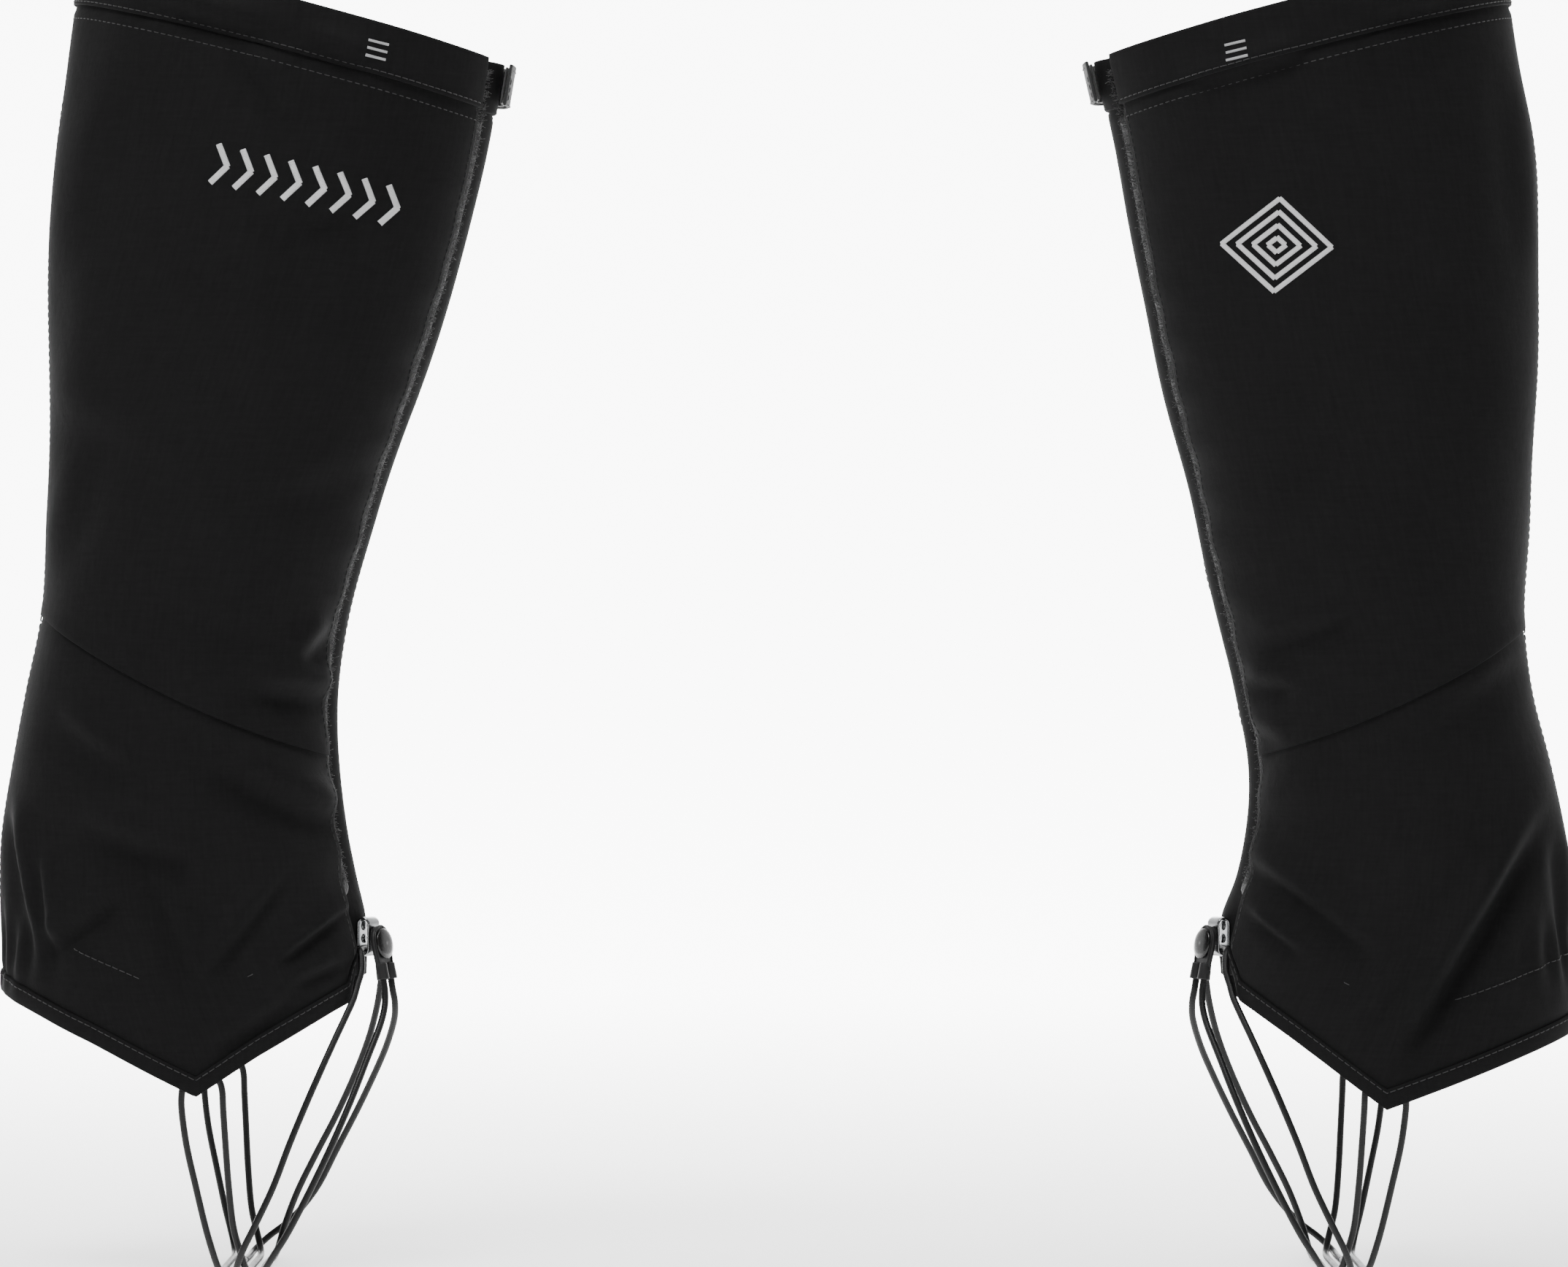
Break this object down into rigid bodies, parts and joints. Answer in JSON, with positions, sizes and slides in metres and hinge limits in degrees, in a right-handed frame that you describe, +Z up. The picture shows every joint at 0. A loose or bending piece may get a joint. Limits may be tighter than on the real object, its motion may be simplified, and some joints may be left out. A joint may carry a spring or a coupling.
{
  "type": "pair of knee-high hiking gaiters",
  "caption": "Pair of knee-high cloth leg gaiters with hook-and-loop front flaps, cuff straps, cord hooks with lift tabs, and elastic under-boot cords.",
  "frame": {"origin": "the ground under the boots, midway between the two ankle axes, where the worn pair is held up", "axes": "+Z up the legs; X runs from the right gaiter's heel to the left gaiter's heel, with the toes pointing at each other; the outer sides of both legs face -Y"},
  "size_m": [0.628, 0.1255, 0.5218],
  "materials": {
    "cloth": "fine black plain-woven coated cloth, matte with a faint sheen",
    "webbing": "black woven tape, matte",
    "hook_and_loop": "black hook-and-loop tape, fuzzy and matte",
    "elastic": "black braided elastic, matte",
    "cord": "smooth black elastic cord, satin",
    "steel": "polished plated steel",
    "moulded_rubber": "dark moulded rubber, satin",
    "blackened_metal": "black lacquered metal, glossy"
  },
  "bodies": {
    "gaiters": {"right_outer_upper_panel": "cloth", "right_inner_upper_panel": "cloth", "right_outer_lower_panel": "cloth", "right_inner_lower_panel": "cloth", "right_outer_cuff": "cloth", "right_inner_cuff": "cloth", "right_outer_hem_band": "cloth", "right_inner_hem_band": "cloth", "right_underlap": "cloth", "right_loop_tape": "hook_and_loop", "right_cuff_loop_patch": "hook_and_loop", "right_cuff_elastic": "elastic", "right_ankle_elastic": "elastic", "right_back_seam_tape": "webbing", "right_cord_hook": "steel", "right_upper_rivet": "steel", "right_lower_rivet": "steel", "right_outer_cord_anchor": "webbing", "right_inner_cord_anchor": "webbing", "right_side_cord": "cord", "right_front_cord": "cord", "left_outer_upper_panel": "cloth", "left_inner_upper_panel": "cloth", "left_outer_lower_panel": "cloth", "left_inner_lower_panel": "cloth", "left_outer_cuff": "cloth", "left_inner_cuff": "cloth", "left_outer_hem_band": "cloth", "left_inner_hem_band": "cloth", "left_underlap": "cloth", "left_loop_tape": "hook_and_loop", "left_cuff_loop_patch": "hook_and_loop", "left_cuff_elastic": "elastic", "left_ankle_elastic": "elastic", "left_back_seam_tape": "webbing", "left_cord_hook": "steel", "left_upper_rivet": "steel", "left_lower_rivet": "steel", "left_outer_cord_anchor": "webbing", "left_inner_cord_anchor": "webbing", "left_side_cord": "cord", "left_front_cord": "cord"},
    "right_flap": {"right_flap_upper_panel": "cloth", "right_flap_lower_panel": "cloth", "right_flap_cuff": "cloth", "right_flap_hem_band": "cloth", "right_hook_tape": "hook_and_loop"},
    "right_strap": {"right_cuff_strap": "webbing", "right_cuff_strap_hook_patch": "hook_and_loop"},
    "right_tab": {"right_pull_tab": "moulded_rubber", "right_tab_button": "blackened_metal"},
    "left_flap": {"left_flap_upper_panel": "cloth", "left_flap_lower_panel": "cloth", "left_flap_cuff": "cloth", "left_flap_hem_band": "cloth", "left_hook_tape": "hook_and_loop"},
    "left_strap": {"left_cuff_strap": "webbing", "left_cuff_strap_hook_patch": "hook_and_loop"},
    "left_tab": {"left_pull_tab": "moulded_rubber", "left_tab_button": "blackened_metal"}
  },
  "joints": [
    {"name": "right_flap_peel", "type": "hinge", "parent": "gaiters", "child": "right_flap", "pos_m": [-0.21793, -0.057, 0.09], "axis": [-0.0861, 0.0183, -0.9961], "range_deg": [0, 70]},
    {"name": "left_flap_peel", "type": "hinge", "parent": "gaiters", "child": "left_flap", "pos_m": [0.21793, -0.057, 0.09], "axis": [-0.0861, -0.0183, 0.9961], "range_deg": [0, 70]},
    {"name": "right_strap_peel", "type": "hinge", "parent": "gaiters", "child": "right_strap", "pos_m": [-0.1384, 0.0444, 0.49], "axis": [0, 0, 1], "range_deg": [0, 110]},
    {"name": "left_strap_peel", "type": "hinge", "parent": "gaiters", "child": "left_strap", "pos_m": [0.1384, 0.0444, 0.49], "axis": [0, 0, -1], "range_deg": [0, 110]},
    {"name": "right_tab_lift", "type": "hinge", "parent": "gaiters", "child": "right_tab", "pos_m": [-0.16599, -0.00682, 0.136], "axis": [-0.4406, -0.8977, 0], "range_deg": [0, 30], "deforming": ["right_front_cord"]},
    {"name": "left_tab_lift", "type": "hinge", "parent": "gaiters", "child": "left_tab", "pos_m": [0.16591, -0.00676, 0.136], "axis": [-0.4306, 0.9026, 0], "range_deg": [0, 30], "deforming": ["left_front_cord"]}
  ]
}
